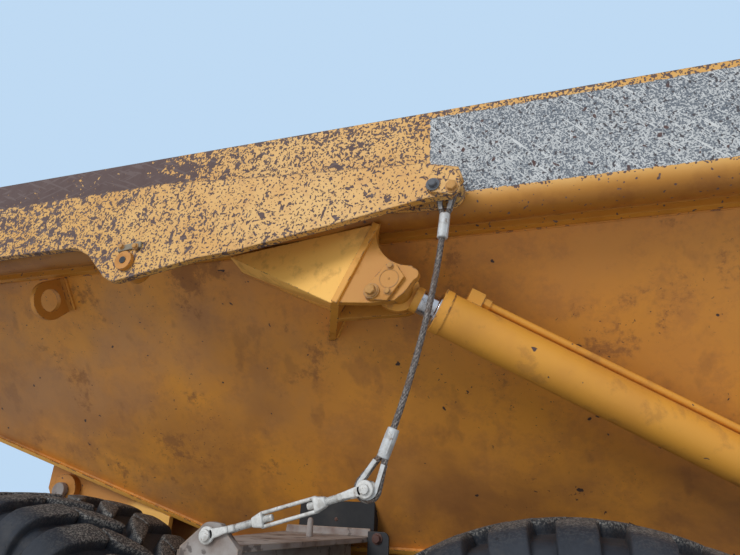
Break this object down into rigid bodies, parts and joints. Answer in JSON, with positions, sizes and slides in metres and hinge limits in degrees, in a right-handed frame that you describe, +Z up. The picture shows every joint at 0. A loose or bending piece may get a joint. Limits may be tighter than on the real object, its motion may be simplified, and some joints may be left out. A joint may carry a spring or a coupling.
{
  "type": "articulated dump truck rear unit",
  "caption": "Rear unit of an articulated dump truck: tandem chassis, hollow tipping body, tailgate on side arms with ropes, telescopic hoists.",
  "frame": {"origin": "middle of the bounding box, on the ground", "axes": "+X forward to the hitch, +Y left, +Z up"},
  "size_m": [5.648, 3.048, 2.9899],
  "materials": {
    "chassis_paint": "dusty",
    "body_paint": "worn",
    "rail_paint": "chipped",
    "hoist_paint": "satin",
    "rusty_steel": "rusty",
    "chrome_rod": "polished",
    "galvanised": "galvanised",
    "wire_rope": "greasy",
    "tyre": "dusty",
    "rim_paint": "dusty",
    "rubber": "matt",
    "lamp_red": "gloss"
  },
  "bodies": {
    "chassis": {"frame_rails": "chassis_paint", "hitch_housing": "chassis_paint", "outrigger_right": "rusty_steel", "outrigger_left": "rusty_steel", "body_pads": "rubber", "hoist_mount_right": "chassis_paint", "hoist_mount_left": "chassis_paint", "axle_middle": "chassis_paint", "axle_rear": "chassis_paint", "bogie_beams": "chassis_paint", "bogie_springs": "rubber", "torque_rods": "chassis_paint", "drive_shafts": "chassis_paint", "lamp_bar": "chassis_paint", "tail_lamps": "lamp_red"},
    "wheel_middle_right": {"tyre_middle_right": "tyre", "rim_middle_right": "rim_paint"},
    "wheel_middle_left": {"tyre_middle_left": "tyre", "rim_middle_left": "rim_paint"},
    "wheel_rear_right": {"tyre_rear_right": "tyre", "rim_rear_right": "rim_paint"},
    "wheel_rear_left": {"tyre_rear_left": "tyre", "rim_rear_left": "rim_paint"},
    "dump_body": {"body_floor": "body_paint", "body_side_right": "body_paint", "body_side_left": "body_paint", "top_rail_right": "rail_paint", "top_rail_left": "rail_paint", "front_wall": "body_paint", "body_sills": "body_paint", "hinge_plates": "rail_paint", "hoist_bracket_right": "hoist_paint", "hoist_bracket_left": "hoist_paint", "arm_pivots": "rail_paint", "lifting_eyes": "rail_paint"},
    "tailgate": {"gate_panel": "body_paint", "gate_arm_right": "rail_paint", "gate_arm_left": "rail_paint"},
    "hoist_rod_right": {"hoist_rod_right": "chrome_rod"},
    "hoist_stage_right": {"hoist_stage_right": "chrome_rod"},
    "hoist_barrel_right": {"hoist_barrel_right": "hoist_paint"},
    "turnbuckle_right": {"turnbuckle_right": "galvanised"},
    "gate_rope_right": {"gate_rope_right": "wire_rope"},
    "hoist_rod_left": {"hoist_rod_left": "chrome_rod"},
    "hoist_stage_left": {"hoist_stage_left": "chrome_rod"},
    "hoist_barrel_left": {"hoist_barrel_left": "hoist_paint"},
    "turnbuckle_left": {"turnbuckle_left": "galvanised"},
    "gate_rope_left": {"gate_rope_left": "wire_rope"}
  },
  "joints": [
    {"name": "wheel_middle_right", "type": "hinge", "parent": "chassis", "child": "wheel_middle_right", "pos_m": [0.524, -1.175, 0.8], "axis": [0, 1, 0], "continuous": true},
    {"name": "wheel_middle_left", "type": "hinge", "parent": "chassis", "child": "wheel_middle_left", "pos_m": [0.524, 1.175, 0.8], "axis": [0, 1, 0], "continuous": true},
    {"name": "wheel_rear_right", "type": "hinge", "parent": "chassis", "child": "wheel_rear_right", "pos_m": [-1.176, -1.175, 0.8], "axis": [0, 1, 0], "continuous": true},
    {"name": "wheel_rear_left", "type": "hinge", "parent": "chassis", "child": "wheel_rear_left", "pos_m": [-1.176, 1.175, 0.8], "axis": [0, 1, 0], "continuous": true},
    {"name": "body_tip", "type": "hinge", "parent": "chassis", "child": "dump_body", "pos_m": [-1.656, 0, 1.61], "axis": [0, -1, 0], "range_deg": [0, 70]},
    {"name": "gate_swing", "type": "hinge", "parent": "dump_body", "child": "tailgate", "pos_m": [-0.731, 0, 2.27], "axis": [0, -1, 0], "range_deg": [-87.1, 0]},
    {"name": "hoist_swing_right", "type": "hinge", "parent": "dump_body", "child": "hoist_rod_right", "pos_m": [0.092, -1.32, 2.181], "axis": [-0.284, 0.9333, 0.2199], "range_deg": [0, 73.79]},
    {"name": "hoist_stage_right", "type": "slide", "parent": "hoist_rod_right", "child": "hoist_stage_right", "axis": [0.8403, 0.3527, -0.4117], "range_m": [0, 1.01601]},
    {"name": "hoist_barrel_right", "type": "slide", "parent": "hoist_stage_right", "child": "hoist_barrel_right", "axis": [0.8403, 0.3527, -0.4117], "range_m": [0, 1.01601]},
    {"name": "turnbuckle_swing_right", "type": "hinge", "parent": "chassis", "child": "turnbuckle_right", "pos_m": [-0.326, -1.4635, 1.521], "axis": [0, -1, 0], "range_deg": [0, 103.23]},
    {"name": "rope_swing_right", "type": "hinge", "parent": "turnbuckle_right", "child": "gate_rope_right", "pos_m": [0.071, -1.4635, 1.637], "axis": [0, -1, 0], "range_deg": [-55.94, 0]},
    {"name": "hoist_swing_left", "type": "hinge", "parent": "dump_body", "child": "hoist_rod_left", "pos_m": [0.092, 1.32, 2.181], "axis": [0.284, 0.9333, -0.2199], "range_deg": [0, 73.79]},
    {"name": "hoist_stage_left", "type": "slide", "parent": "hoist_rod_left", "child": "hoist_stage_left", "axis": [0.8403, -0.3527, -0.4117], "range_m": [0, 1.01601]},
    {"name": "hoist_barrel_left", "type": "slide", "parent": "hoist_stage_left", "child": "hoist_barrel_left", "axis": [0.8403, -0.3527, -0.4117], "range_m": [0, 1.01601]},
    {"name": "turnbuckle_swing_left", "type": "hinge", "parent": "chassis", "child": "turnbuckle_left", "pos_m": [-0.326, 1.4635, 1.521], "axis": [0, -1, 0], "range_deg": [0, 103.23]},
    {"name": "rope_swing_left", "type": "hinge", "parent": "turnbuckle_left", "child": "gate_rope_left", "pos_m": [0.071, 1.4635, 1.637], "axis": [0, -1, 0], "range_deg": [-55.94, 0]}
  ],
  "couplings": [
    {"joint": "gate_swing", "follows": "body_tip", "ratio": -1.2436},
    {"joint": "hoist_swing_right", "follows": "body_tip", "ratio": 1.0534},
    {"joint": "hoist_stage_right", "follows": "body_tip", "m_per_rad": 0.83121},
    {"joint": "hoist_barrel_right", "follows": "body_tip", "m_per_rad": 0.83121},
    {"joint": "turnbuckle_swing_right", "follows": "body_tip", "ratio": 1.4739},
    {"joint": "rope_swing_right", "follows": "body_tip", "ratio": -0.79842},
    {"joint": "hoist_swing_left", "follows": "body_tip", "ratio": 1.0534},
    {"joint": "hoist_stage_left", "follows": "body_tip", "m_per_rad": 0.83121},
    {"joint": "hoist_barrel_left", "follows": "body_tip", "m_per_rad": 0.83121},
    {"joint": "turnbuckle_swing_left", "follows": "body_tip", "ratio": 1.4739},
    {"joint": "rope_swing_left", "follows": "body_tip", "ratio": -0.79842}
  ]
}
